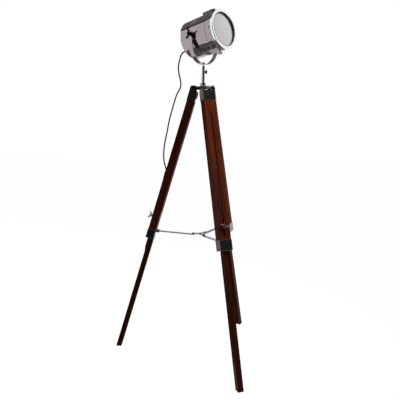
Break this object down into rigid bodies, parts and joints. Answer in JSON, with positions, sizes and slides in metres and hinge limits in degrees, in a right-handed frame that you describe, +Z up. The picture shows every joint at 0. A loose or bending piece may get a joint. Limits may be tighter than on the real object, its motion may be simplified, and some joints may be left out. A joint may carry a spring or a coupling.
{
  "type": "tripod floor lamp",
  "caption": "Floor-standing spotlight lamp: a tilting and turning metal drum head in a flat yoke on a folding tripod with telescoping channelled wooden legs and a spreader brace.",
  "frame": {"origin": "on the floor, at the centre of the lamp's bounding box without its cord; the lamp's own upright axis stands a little towards +X of it", "axes": "+Z up; +X points away from the leg that carries the cord; the spotlight faces between +X and -Y"},
  "size_m": [0.5756, 0.6648, 1.4488],
  "materials": {
    "wood": "satin lacquer",
    "black_chrome": "polished",
    "gunmetal": "polished",
    "bright_chrome": "polished",
    "frosted_glass": "frosted",
    "bulb_glass": "frosted",
    "reflector_metal": "satin",
    "ceramic": "glazed",
    "black_plastic": "semi gloss",
    "cord_rubber": "matte",
    "plug_metal": "polished"
  },
  "bodies": {
    "hub_body": {"hub": "black_chrome", "stem_tube": "gunmetal", "hub_screws": "bright_chrome", "hinge_bolts": "bright_chrome", "cord_hang": "cord_rubber"},
    "yoke_body": {"yoke": "gunmetal", "yoke_nut": "black_chrome", "yoke_spigot": "bright_chrome", "cord_top": "cord_rubber"},
    "head_body": {"drum_shell": "gunmetal", "front_collar": "gunmetal", "bezel_ring": "bright_chrome", "diffuser_glass": "frosted_glass", "glass_gasket": "black_plastic", "top_vent_cover": "gunmetal", "bottom_vent_box": "gunmetal", "top_latch": "gunmetal", "reflector": "reflector_metal", "lamp_holder": "ceramic", "light_bulb": "bulb_glass", "tilt_bolts": "black_chrome", "head_screws": "bright_chrome", "cord_boot": "cord_rubber"},
    "latch_knob_body": {"latch_knob": "black_plastic"},
    "vent_knob_body": {"vent_knob": "black_plastic"},
    "tilt_nut_near_body": {"tilt_nut_near": "black_chrome"},
    "tilt_nut_far_body": {"tilt_nut_far": "black_chrome"},
    "thumb_screw_body": {"stem_thumb_screw": "black_chrome"},
    "brace_plate_body": {"brace_centre": "black_chrome", "brace_bolts": "bright_chrome"},
    "front_leg": {"leg_cap_front": "black_chrome", "upper_leg_front": "wood", "leg_sleeve_front": "black_chrome", "brace_pin_front": "bright_chrome"},
    "front_lower": {"lower_leg_front": "wood", "clamp_bolt_front": "bright_chrome"},
    "front_wing_nut": {"wing_nut_front": "bright_chrome"},
    "front_arm": {"brace_arm_front": "black_chrome"},
    "left_leg": {"leg_cap_left": "black_chrome", "upper_leg_left": "wood", "leg_sleeve_left": "black_chrome", "brace_pin_left": "bright_chrome", "cord_leg": "cord_rubber", "cord_hank": "cord_rubber", "hank_tie": "cord_rubber", "plug_body": "black_plastic", "plug_pins": "plug_metal"},
    "left_lower": {"lower_leg_left": "wood", "clamp_bolt_left": "bright_chrome"},
    "left_wing_nut": {"wing_nut_left": "bright_chrome"},
    "left_arm": {"brace_arm_left": "black_chrome"},
    "right_leg": {"leg_cap_right": "black_chrome", "upper_leg_right": "wood", "leg_sleeve_right": "black_chrome", "brace_pin_right": "bright_chrome"},
    "right_lower": {"lower_leg_right": "wood", "clamp_bolt_right": "bright_chrome"},
    "right_wing_nut": {"wing_nut_right": "bright_chrome"},
    "right_arm": {"brace_arm_right": "black_chrome"}
  },
  "joints": [
    {"name": "head_pan", "type": "hinge", "parent": "hub_body", "child": "yoke_body", "pos_m": [0.08919, 0, 1.239], "axis": [0, 0, 1], "range_deg": [-90, 90]},
    {"name": "head_tilt", "type": "hinge", "parent": "yoke_body", "child": "head_body", "pos_m": [0.08919, 0, 1.353], "axis": [-0.5948, -0.8039, 0], "range_deg": [-30, 50]},
    {"name": "tilt_nut_near_spin", "type": "hinge", "parent": "head_body", "child": "tilt_nut_near_body", "pos_m": [0.03685, -0.07074, 1.353], "axis": [-0.5948, -0.8039, 0], "continuous": true},
    {"name": "tilt_nut_far_spin", "type": "hinge", "parent": "head_body", "child": "tilt_nut_far_body", "pos_m": [0.14153, 0.07074, 1.353], "axis": [0.5948, 0.8039, 0], "continuous": true},
    {"name": "latch_knob_turn", "type": "hinge", "parent": "head_body", "child": "latch_knob_body", "pos_m": [0.12864, -0.05407, 1.44389], "axis": [0.7928, -0.5867, 0.165], "continuous": true},
    {"name": "vent_knob_turn", "type": "hinge", "parent": "head_body", "child": "vent_knob_body", "pos_m": [0.15821, -0.06102, 1.28927], "axis": [-0.1327, 0.0982, 0.9863], "continuous": true},
    {"name": "stem_screw_turn", "type": "hinge", "parent": "hub_body", "child": "thumb_screw_body", "pos_m": [0.08919, 0, 1.215], "axis": [0.9998, 0.0175, 0], "continuous": true},
    {"name": "front_leg_fold", "type": "hinge", "parent": "hub_body", "child": "front_leg", "pos_m": [0.11019, -0.03637, 1.15], "axis": [0.866, 0.5, 0], "range_deg": [0, 12.5]},
    {"name": "front_leg_slide", "type": "slide", "parent": "front_leg", "child": "front_lower", "axis": [-0.1412, 0.2445, 0.9593], "range_m": [0, 0.44]},
    {"name": "front_wing_nut_spin", "type": "hinge", "parent": "front_lower", "child": "front_wing_nut", "pos_m": [0.19681, -0.1864, 0.61098], "axis": [0.4797, -0.8308, 0.2823], "continuous": true},
    {"name": "front_arm_fold", "type": "hinge", "parent": "front_leg", "child": "front_arm", "pos_m": [0.18101, -0.15904, 0.54122], "axis": [0.866, 0.5, 0], "range_deg": [-102.5, 0]},
    {"name": "left_leg_fold", "type": "hinge", "parent": "hub_body", "child": "left_leg", "pos_m": [0.04719, 0, 1.15], "axis": [0, -1, 0], "range_deg": [0, 12.5]},
    {"name": "left_leg_slide", "type": "slide", "parent": "left_leg", "child": "left_lower", "axis": [0.2823, 0, 0.9593], "range_m": [0, 0.44]},
    {"name": "left_wing_nut_spin", "type": "hinge", "parent": "left_lower", "child": "left_wing_nut", "pos_m": [-0.12605, 0, 0.61098], "axis": [-0.9593, 0, 0.2823], "continuous": true},
    {"name": "left_arm_fold", "type": "hinge", "parent": "left_leg", "child": "left_arm", "pos_m": [-0.09446, 0, 0.54122], "axis": [0, -1, 0], "range_deg": [-102.5, 0]},
    {"name": "right_leg_fold", "type": "hinge", "parent": "hub_body", "child": "right_leg", "pos_m": [0.11019, 0.03637, 1.15], "axis": [-0.866, 0.5, 0], "range_deg": [0, 12.5]},
    {"name": "right_leg_slide", "type": "slide", "parent": "right_leg", "child": "right_lower", "axis": [-0.1412, -0.2445, 0.9593], "range_m": [0, 0.44]},
    {"name": "right_wing_nut_spin", "type": "hinge", "parent": "right_lower", "child": "right_wing_nut", "pos_m": [0.19681, 0.1864, 0.61098], "axis": [0.4797, 0.8308, 0.2823], "continuous": true},
    {"name": "right_arm_fold", "type": "hinge", "parent": "right_leg", "child": "right_arm", "pos_m": [0.18101, 0.15904, 0.54122], "axis": [-0.866, 0.5, 0], "range_deg": [-102.5, 0]},
    {"name": "brace_plate_drop", "type": "slide", "parent": "hub_body", "child": "brace_plate_body", "axis": [0, 0, -1], "range_m": [0, 0.143]}
  ],
  "couplings": [
    {"joint": "front_arm_fold", "follows": "front_leg_fold", "ratio": -8.18},
    {"joint": "left_leg_fold", "follows": "front_leg_fold", "ratio": 1},
    {"joint": "left_arm_fold", "follows": "front_leg_fold", "ratio": -8.18},
    {"joint": "right_leg_fold", "follows": "front_leg_fold", "ratio": 1},
    {"joint": "right_arm_fold", "follows": "front_leg_fold", "ratio": -8.18},
    {"joint": "brace_plate_drop", "follows": "front_leg_fold", "m_per_rad": 0.65}
  ]
}
